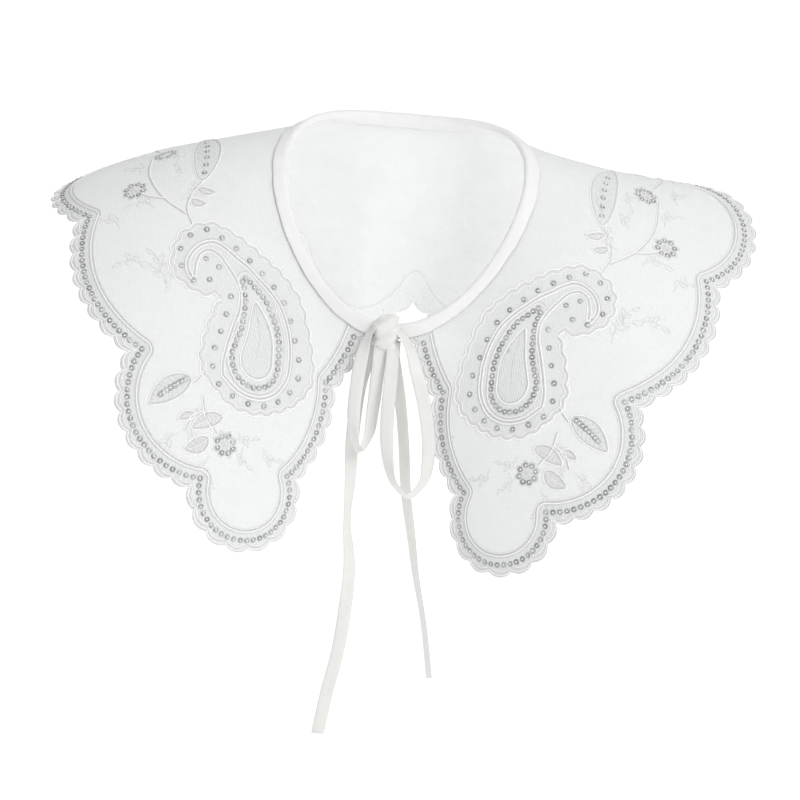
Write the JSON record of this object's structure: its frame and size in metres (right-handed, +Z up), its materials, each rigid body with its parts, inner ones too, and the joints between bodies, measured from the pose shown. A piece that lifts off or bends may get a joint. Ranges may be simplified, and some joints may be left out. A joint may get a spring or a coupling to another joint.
{
  "type": "embroidered detachable collar",
  "caption": "Sheer white net collar with scalloped sequin border and paisley embroidery, bound neckline and narrow ribbon ties in a front bow.",
  "frame": {"origin": "middle of the neck ring, where the wearer's neck holds the collar", "axes": "+Z up, -Y the way the wearer faces, +X the wearer's left"},
  "size_m": [0.3747, 0.2296, 0.3225],
  "materials": {
    "net": "sheer white net with white embroidery",
    "tape": "ivory white satin tape"
  },
  "bodies": {
    "root": {"collar_net": "net", "neck_binding": "tape", "tie_knot": "tape", "bow_loop_left": "tape", "bow_loop_right": "tape", "tie_tail_left": "tape", "tie_tail_right": "tape"}
  },
  "joints": []
}
